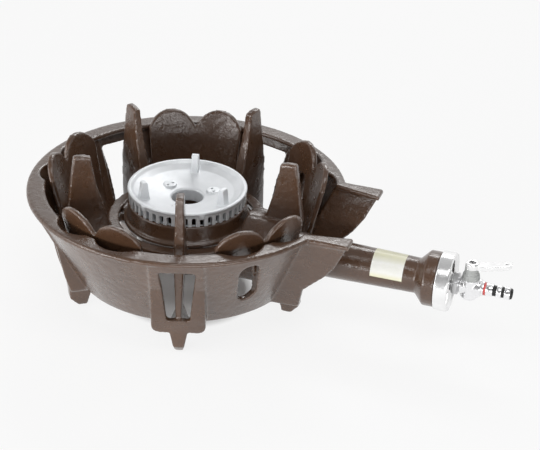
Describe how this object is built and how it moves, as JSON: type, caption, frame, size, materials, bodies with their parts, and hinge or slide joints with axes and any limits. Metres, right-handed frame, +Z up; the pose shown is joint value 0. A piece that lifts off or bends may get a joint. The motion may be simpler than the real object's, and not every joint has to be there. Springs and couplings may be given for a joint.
{
  "type": "gas ring burner",
  "caption": "Low cast-iron gas ring burner: bowl-shaped stand with pot claws and wind guards, lift-off burner cap, long mixing tube, turning air damper and quarter-turn gas cock.",
  "frame": {"origin": "centre of the bounding box at floor level; the burner's upright axis stands at y = 0.0825 m", "axes": "+Z up; the mixing tube and the hose end point along -Y; the stand is symmetric about the YZ plane"},
  "size_m": [0.3, 0.465, 0.157],
  "materials": {
    "stand_enamel": "glossy brown enamel over rough casting",
    "burner_enamel": "glossy brown enamel over rough casting",
    "cap_plating": "bright plating on a casting",
    "damper_plating": "bright plating",
    "cock_plating": "chrome-plated brass",
    "nipple_plating": "chrome-plated brass",
    "lever_plating": "bright plating",
    "plug_brass": "ground brass",
    "jet_brass": "turned brass",
    "nut_grey": "matte grey",
    "fastener_steel": "zinc-plated steel",
    "spring_steel": "spring steel",
    "seal_rubber": "black rubber",
    "mark_red": "red enamel band",
    "label_film": "pale yellow film, blank"
  },
  "bodies": {
    "stand": {"burner_body": "burner_enamel", "burner_bolt_1": "fastener_steel", "burner_bolt_2": "fastener_steel", "burner_bolt_3": "fastener_steel", "burner_sleeve": "burner_enamel", "claw_1": "stand_enamel", "claw_2": "stand_enamel", "claw_3": "stand_enamel", "claw_4": "stand_enamel", "claw_front": "stand_enamel", "cock_body": "cock_plating", "damper_spring_washer": "spring_steel", "foot_front": "stand_enamel", "hose_depth_mark": "mark_red", "hose_nipple": "nipple_plating", "injector": "jet_brass", "lock_nut": "fastener_steel", "mixing_tube": "burner_enamel", "packing_nut": "nut_grey", "plug_spring_washer": "spring_steel", "rim": "stand_enamel", "seat_ring": "stand_enamel", "skirt_left_front": "stand_enamel", "skirt_left_rear": "stand_enamel", "skirt_rear": "stand_enamel", "skirt_right_front": "stand_enamel", "skirt_right_rear": "stand_enamel", "spout_wall_left": "stand_enamel", "spout_wall_right": "stand_enamel", "stem_seal": "seal_rubber", "tube_label": "label_film", "tube_mouth": "burner_enamel", "wind_guard_1": "stand_enamel", "wind_guard_2": "stand_enamel", "wind_guard_3": "stand_enamel", "wind_guard_4": "stand_enamel", "wind_guard_5": "stand_enamel", "window_panel_1": "stand_enamel", "window_panel_2": "stand_enamel", "window_panel_3": "stand_enamel", "window_panel_4": "stand_enamel"},
    "burner_cap": {"burner_cap": "cap_plating"},
    "air_damper": {"air_damper": "damper_plating", "damper_collar": "damper_plating"},
    "cock_lever": {"cock_plug": "plug_brass", "cock_lever": "lever_plating", "lever_screw": "fastener_steel"}
  },
  "joints": [
    {"name": "cap_lift", "type": "slide", "parent": "stand", "child": "burner_cap", "axis": [0, 0, 1], "range_m": [0, 0.07]},
    {"name": "damper_turn", "type": "hinge", "parent": "stand", "child": "air_damper", "pos_m": [0, -0.1715, 0.067], "axis": [0, -1, 0], "range_deg": [0, 90]},
    {"name": "cock_turn", "type": "hinge", "parent": "stand", "child": "cock_lever", "pos_m": [0, -0.1935, 0.086], "axis": [0, 0, 1], "range_deg": [0, 90]}
  ]
}
